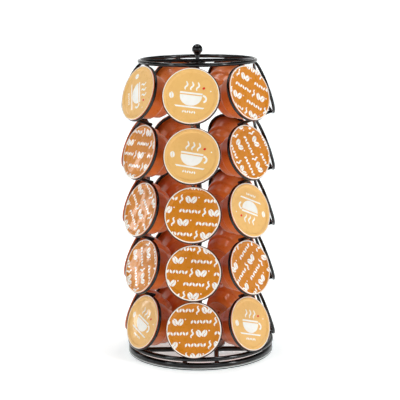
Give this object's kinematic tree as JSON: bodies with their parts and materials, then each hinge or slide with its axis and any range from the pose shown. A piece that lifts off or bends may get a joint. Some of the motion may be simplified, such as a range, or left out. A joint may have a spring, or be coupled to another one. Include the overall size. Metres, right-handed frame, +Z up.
{
  "type": "coffee capsule dispenser",
  "caption": "Rotating wire tower for coffee capsules: columns of tilted rings on a spindle, a ring base with an anti-slip strip and a ball finial, with capsules in most rings.",
  "frame": {"origin": "on the worktop, under the middle of the spindle", "axes": "+Z is up along the spindle, +X points to the viewer's right, along the arms of the base bars, and the viewer of the picture is on the -Y side"},
  "size_m": [0.1543, 0.1556, 0.3108],
  "materials": {
    "black_nickel_wire": "glossy black nickel plating on steel wire",
    "clear_strip": "clear soft vinyl",
    "zinc_steel": "zinc plated",
    "nylon": "satin nylon",
    "capsule_plastic": "semi-gloss terracotta polypropylene with a printed lid film"
  },
  "bodies": {
    "root": {"anti_slip_strip": "clear_strip", "base_ring": "black_nickel_wire", "base_bar_front_left": "black_nickel_wire", "base_bar_front_right": "black_nickel_wire", "base_bar_rear_left": "black_nickel_wire", "base_bar_rear_right": "black_nickel_wire", "hub_plate": "zinc_steel", "thrust_ring": "nylon", "rod_nut": "zinc_steel", "spindle_rod": "black_nickel_wire", "finial": "black_nickel_wire"},
    "carousel": {"top_ring": "black_nickel_wire", "bottom_ring": "black_nickel_wire", "top_crossbar": "black_nickel_wire", "bottom_crossbar": "black_nickel_wire", "ring_column_front": "black_nickel_wire", "ring_column_right": "black_nickel_wire", "ring_column_far_right": "black_nickel_wire", "ring_column_rear_right": "black_nickel_wire", "ring_column_rear_left": "black_nickel_wire", "ring_column_far_left": "black_nickel_wire", "ring_column_left": "black_nickel_wire"},
    "capsule_front_1": {"capsule_front_1": "capsule_plastic"},
    "capsule_front_2": {"capsule_front_2": "capsule_plastic"},
    "capsule_front_3": {"capsule_front_3": "capsule_plastic"},
    "capsule_front_4": {"capsule_front_4": "capsule_plastic"},
    "capsule_front_5": {"capsule_front_5": "capsule_plastic"},
    "capsule_right_1": {"capsule_right_1": "capsule_plastic"},
    "capsule_right_2": {"capsule_right_2": "capsule_plastic"},
    "capsule_right_3": {"capsule_right_3": "capsule_plastic"},
    "capsule_right_4": {"capsule_right_4": "capsule_plastic"},
    "capsule_right_5": {"capsule_right_5": "capsule_plastic"},
    "capsule_rear_right_1": {"capsule_rear_right_1": "capsule_plastic"},
    "capsule_rear_right_2": {"capsule_rear_right_2": "capsule_plastic"},
    "capsule_rear_right_3": {"capsule_rear_right_3": "capsule_plastic"},
    "capsule_rear_right_4": {"capsule_rear_right_4": "capsule_plastic"},
    "capsule_rear_right_5": {"capsule_rear_right_5": "capsule_plastic"},
    "capsule_rear_left_1": {"capsule_rear_left_1": "capsule_plastic"},
    "capsule_rear_left_2": {"capsule_rear_left_2": "capsule_plastic"},
    "capsule_rear_left_3": {"capsule_rear_left_3": "capsule_plastic"},
    "capsule_rear_left_4": {"capsule_rear_left_4": "capsule_plastic"},
    "capsule_rear_left_5": {"capsule_rear_left_5": "capsule_plastic"},
    "capsule_far_left_2": {"capsule_far_left_2": "capsule_plastic"},
    "capsule_far_left_3": {"capsule_far_left_3": "capsule_plastic"},
    "capsule_far_left_4": {"capsule_far_left_4": "capsule_plastic"},
    "capsule_far_left_5": {"capsule_far_left_5": "capsule_plastic"},
    "capsule_left_1": {"capsule_left_1": "capsule_plastic"},
    "capsule_left_2": {"capsule_left_2": "capsule_plastic"},
    "capsule_left_3": {"capsule_left_3": "capsule_plastic"},
    "capsule_left_4": {"capsule_left_4": "capsule_plastic"},
    "capsule_left_5": {"capsule_left_5": "capsule_plastic"}
  },
  "joints": [
    {"name": "carousel_spin", "type": "hinge", "parent": "root", "child": "carousel", "pos_m": [0, 0, 0], "axis": [0, 0, 1], "continuous": true},
    {"name": "capsule_front_1_pull", "type": "slide", "parent": "carousel", "child": "capsule_front_1", "axis": [-0.0908, -0.9607, 0.2622], "range_m": [0, 0.04]},
    {"name": "capsule_front_2_pull", "type": "slide", "parent": "carousel", "child": "capsule_front_2", "axis": [-0.0908, -0.9607, 0.2622], "range_m": [0, 0.04]},
    {"name": "capsule_front_3_pull", "type": "slide", "parent": "carousel", "child": "capsule_front_3", "axis": [-0.0908, -0.9607, 0.2622], "range_m": [0, 0.04]},
    {"name": "capsule_front_4_pull", "type": "slide", "parent": "carousel", "child": "capsule_front_4", "axis": [-0.0908, -0.9607, 0.2622], "range_m": [0, 0.04]},
    {"name": "capsule_front_5_pull", "type": "slide", "parent": "carousel", "child": "capsule_front_5", "axis": [-0.0908, -0.9607, 0.2622], "range_m": [0, 0.04]},
    {"name": "capsule_right_1_pull", "type": "slide", "parent": "carousel", "child": "capsule_right_1", "axis": [0.6945, -0.67, 0.2622], "range_m": [0, 0.04]},
    {"name": "capsule_right_2_pull", "type": "slide", "parent": "carousel", "child": "capsule_right_2", "axis": [0.6945, -0.67, 0.2622], "range_m": [0, 0.04]},
    {"name": "capsule_right_3_pull", "type": "slide", "parent": "carousel", "child": "capsule_right_3", "axis": [0.6945, -0.67, 0.2622], "range_m": [0, 0.04]},
    {"name": "capsule_right_4_pull", "type": "slide", "parent": "carousel", "child": "capsule_right_4", "axis": [0.6945, -0.67, 0.2622], "range_m": [0, 0.04]},
    {"name": "capsule_right_5_pull", "type": "slide", "parent": "carousel", "child": "capsule_right_5", "axis": [0.6945, -0.67, 0.2622], "range_m": [0, 0.04]},
    {"name": "capsule_rear_right_1_pull", "type": "slide", "parent": "carousel", "child": "capsule_rear_right_1", "axis": [0.4987, 0.8262, 0.2622], "range_m": [0, 0.04]},
    {"name": "capsule_rear_right_2_pull", "type": "slide", "parent": "carousel", "child": "capsule_rear_right_2", "axis": [0.4987, 0.8262, 0.2622], "range_m": [0, 0.04]},
    {"name": "capsule_rear_right_3_pull", "type": "slide", "parent": "carousel", "child": "capsule_rear_right_3", "axis": [0.4987, 0.8262, 0.2622], "range_m": [0, 0.04]},
    {"name": "capsule_rear_right_4_pull", "type": "slide", "parent": "carousel", "child": "capsule_rear_right_4", "axis": [0.4987, 0.8262, 0.2622], "range_m": [0, 0.04]},
    {"name": "capsule_rear_right_5_pull", "type": "slide", "parent": "carousel", "child": "capsule_rear_right_5", "axis": [0.4987, 0.8262, 0.2622], "range_m": [0, 0.04]},
    {"name": "capsule_rear_left_1_pull", "type": "slide", "parent": "carousel", "child": "capsule_rear_left_1", "axis": [-0.335, 0.905, 0.2622], "range_m": [0, 0.04]},
    {"name": "capsule_rear_left_2_pull", "type": "slide", "parent": "carousel", "child": "capsule_rear_left_2", "axis": [-0.335, 0.905, 0.2622], "range_m": [0, 0.04]},
    {"name": "capsule_rear_left_3_pull", "type": "slide", "parent": "carousel", "child": "capsule_rear_left_3", "axis": [-0.335, 0.905, 0.2622], "range_m": [0, 0.04]},
    {"name": "capsule_rear_left_4_pull", "type": "slide", "parent": "carousel", "child": "capsule_rear_left_4", "axis": [-0.335, 0.905, 0.2622], "range_m": [0, 0.04]},
    {"name": "capsule_rear_left_5_pull", "type": "slide", "parent": "carousel", "child": "capsule_rear_left_5", "axis": [-0.335, 0.905, 0.2622], "range_m": [0, 0.04]},
    {"name": "capsule_far_left_2_pull", "type": "slide", "parent": "carousel", "child": "capsule_far_left_2", "axis": [-0.9164, 0.3023, 0.2622], "range_m": [0, 0.04]},
    {"name": "capsule_far_left_3_pull", "type": "slide", "parent": "carousel", "child": "capsule_far_left_3", "axis": [-0.9164, 0.3023, 0.2622], "range_m": [0, 0.04]},
    {"name": "capsule_far_left_4_pull", "type": "slide", "parent": "carousel", "child": "capsule_far_left_4", "axis": [-0.9164, 0.3023, 0.2622], "range_m": [0, 0.04]},
    {"name": "capsule_far_left_5_pull", "type": "slide", "parent": "carousel", "child": "capsule_far_left_5", "axis": [-0.9164, 0.3023, 0.2622], "range_m": [0, 0.04]},
    {"name": "capsule_left_1_pull", "type": "slide", "parent": "carousel", "child": "capsule_left_1", "axis": [-0.8078, -0.528, 0.2622], "range_m": [0, 0.04]},
    {"name": "capsule_left_2_pull", "type": "slide", "parent": "carousel", "child": "capsule_left_2", "axis": [-0.8078, -0.528, 0.2622], "range_m": [0, 0.04]},
    {"name": "capsule_left_3_pull", "type": "slide", "parent": "carousel", "child": "capsule_left_3", "axis": [-0.8078, -0.528, 0.2622], "range_m": [0, 0.04]},
    {"name": "capsule_left_4_pull", "type": "slide", "parent": "carousel", "child": "capsule_left_4", "axis": [-0.8078, -0.528, 0.2622], "range_m": [0, 0.04]},
    {"name": "capsule_left_5_pull", "type": "slide", "parent": "carousel", "child": "capsule_left_5", "axis": [-0.8078, -0.528, 0.2622], "range_m": [0, 0.04]}
  ]
}
